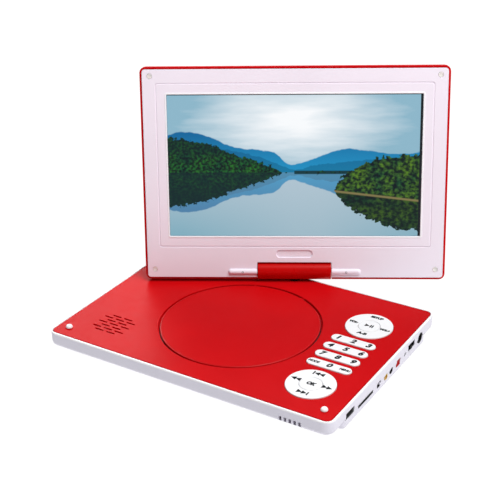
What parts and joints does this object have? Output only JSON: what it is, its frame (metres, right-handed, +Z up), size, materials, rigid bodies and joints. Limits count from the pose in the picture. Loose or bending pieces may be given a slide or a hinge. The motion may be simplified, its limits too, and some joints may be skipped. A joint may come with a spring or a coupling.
{
  "type": "portable dvd player",
  "caption": "Flat disc player with a round lid, keypad and side sockets, and a wide screen that swivels and tilts on a neck.",
  "frame": {"origin": "centre of the player body, on the flat underside of its hull", "axes": "+X towards the keypad side, +Y towards the screen hinge, +Z up"},
  "size_m": [0.2649, 0.2775, 0.2045],
  "materials": {
    "white_plastic": "satin moulded white",
    "red_plastic": "satin painted red",
    "rubber": "matte",
    "silicone": "soft matte",
    "battery_wrap": "shrink film",
    "grey_plastic": "fine texture",
    "steel": "plain",
    "black_plastic": "fine texture",
    "circuit_board": "solder mask",
    "red_jack": "moulded",
    "yellow_jack": "moulded",
    "lens_glass": "polished",
    "panel_back": "plain",
    "screen_glass": "lit picture behind clear film"
  },
  "bodies": {
    "player_body": {"bottom_case": "white_plastic", "top_cover": "red_plastic", "rubber_foot_1": "rubber", "rubber_foot_2": "rubber", "rubber_foot_3": "rubber", "rubber_foot_4": "rubber", "battery_cover": "white_plastic", "battery_pack": "battery_wrap", "disc_tray": "grey_plastic", "spindle_motor": "steel", "guide_rod_left": "steel", "guide_rod_right": "steel", "sled_motor": "steel", "main_board": "circuit_board", "keypad_board": "circuit_board", "keypad_mat": "silicone", "speaker_frame": "steel", "speaker_cone": "black_plastic", "buffer_left": "white_plastic", "buffer_right": "white_plastic", "dc_jack": "black_plastic", "power_switch_body": "black_plastic", "infrared_window": "grey_plastic", "red_jack": "red_jack", "black_jack": "black_plastic", "yellow_jack": "yellow_jack", "av_switch_body": "black_plastic", "card_socket": "steel", "usb_socket": "steel", "swivel_bracket": "steel"},
    "swivel_neck": {"swivel_post": "steel", "hinge_barrel": "red_plastic", "tilt_shaft_left": "steel", "tilt_shaft_right": "steel"},
    "screen_half": {"back_shell": "red_plastic", "bezel": "white_plastic", "lcd_panel": "panel_back", "lcd_screen": "screen_glass", "hinge_bracket_left": "steel", "hinge_bracket_right": "steel", "screw_plug_1": "silicone", "screw_plug_2": "silicone", "screw_plug_3": "silicone", "screw_plug_4": "silicone"},
    "disc_lid": {"disc_lid": "red_plastic"},
    "disc_hub": {"disc_hub": "black_plastic"},
    "pickup": {"pickup_sled": "black_plastic", "pickup_lens": "lens_glass"},
    "lead_screw": {"lead_screw": "steel"},
    "latch_plunger": {"latch_plunger": "black_plastic"},
    "number_strip_1": {"number_strip_1": "white_plastic"},
    "number_strip_2": {"number_strip_2": "white_plastic"},
    "number_strip_3": {"number_strip_3": "white_plastic"},
    "number_strip_4": {"number_strip_4": "white_plastic"},
    "rear_pad_ring": {"rear_pad_ring": "white_plastic"},
    "rear_pad_button": {"rear_pad_button": "white_plastic"},
    "front_pad_ring": {"front_pad_ring": "white_plastic"},
    "front_pad_button": {"front_pad_button": "white_plastic"},
    "power_switch_slider": {"power_switch_slider": "black_plastic"},
    "av_switch_slider": {"av_switch_slider": "white_plastic"}
  },
  "joints": [
    {"name": "screen_swivel", "type": "hinge", "parent": "player_body", "child": "swivel_neck", "pos_m": [0, 0.0858, 0.0276], "axis": [0, 0, 1], "range_deg": [-119.2, 150.8]},
    {"name": "screen_tilt", "type": "hinge", "parent": "swivel_neck", "child": "screen_half", "pos_m": [0, 0.0858, 0.0276], "axis": [0.8729, 0.4879, 0], "range_deg": [-77.8, 102.2]},
    {"name": "disc_lid_hinge", "type": "hinge", "parent": "player_body", "child": "disc_lid", "pos_m": [0, 0.0585, 0.0181], "axis": [-1, 0, 0], "range_deg": [0, 60]},
    {"name": "disc_spindle", "type": "hinge", "parent": "player_body", "child": "disc_hub", "pos_m": [0, -0.004, 0.0111], "axis": [0, 0, 1], "continuous": true},
    {"name": "pickup_slide", "type": "slide", "parent": "player_body", "child": "pickup", "axis": [0, -1, 0], "range_m": [0, 0.0335]},
    {"name": "lead_screw_spin", "type": "hinge", "parent": "player_body", "child": "lead_screw", "pos_m": [0.023, -0.043, 0.0055], "axis": [0, -1, 0], "range_deg": [0, 4025]},
    {"name": "latch_press", "type": "slide", "parent": "player_body", "child": "latch_plunger", "axis": [0, 0, -1], "range_m": [0, 0.0012], "stiffness_N_per_m": 300, "springref_m": -0.001},
    {"name": "number_strip_1_press", "type": "slide", "parent": "player_body", "child": "number_strip_1", "axis": [0, 0, -1], "range_m": [0, 0.0008], "stiffness_N_per_m": 300, "springref_m": -0.001},
    {"name": "number_strip_2_press", "type": "slide", "parent": "player_body", "child": "number_strip_2", "axis": [0, 0, -1], "range_m": [0, 0.0008], "stiffness_N_per_m": 300, "springref_m": -0.001},
    {"name": "number_strip_3_press", "type": "slide", "parent": "player_body", "child": "number_strip_3", "axis": [0, 0, -1], "range_m": [0, 0.0008], "stiffness_N_per_m": 300, "springref_m": -0.001},
    {"name": "number_strip_4_press", "type": "slide", "parent": "player_body", "child": "number_strip_4", "axis": [0, 0, -1], "range_m": [0, 0.0008], "stiffness_N_per_m": 300, "springref_m": -0.001},
    {"name": "rear_pad_button_press", "type": "slide", "parent": "player_body", "child": "rear_pad_button", "axis": [0, 0, -1], "range_m": [0, 0.0008], "stiffness_N_per_m": 300, "springref_m": -0.001},
    {"name": "rear_pad_ring_rock", "type": "hinge", "parent": "player_body", "child": "rear_pad_ring", "pos_m": [0.0938, 0.0439, 0.0172], "axis": [1, 0, 0], "range_deg": [-2.5, 2.5], "stiffness_Nm_per_rad": 0.5},
    {"name": "front_pad_button_press", "type": "slide", "parent": "player_body", "child": "front_pad_button", "axis": [0, 0, -1], "range_m": [0, 0.0008], "stiffness_N_per_m": 300, "springref_m": -0.001},
    {"name": "front_pad_ring_rock", "type": "hinge", "parent": "player_body", "child": "front_pad_ring", "pos_m": [0.0938, -0.0541, 0.0172], "axis": [1, 0, 0], "range_deg": [-2.5, 2.5], "stiffness_Nm_per_rad": 0.5},
    {"name": "power_switch_slide", "type": "slide", "parent": "player_body", "child": "power_switch_slider", "axis": [0, 1, 0], "range_m": [0, 0.004]},
    {"name": "av_switch_slide", "type": "slide", "parent": "player_body", "child": "av_switch_slider", "axis": [0, -1, 0], "range_m": [0, 0.0018]}
  ],
  "couplings": [
    {"joint": "lead_screw_spin", "follows": "pickup_slide", "rad_per_m": 2094.4}
  ]
}
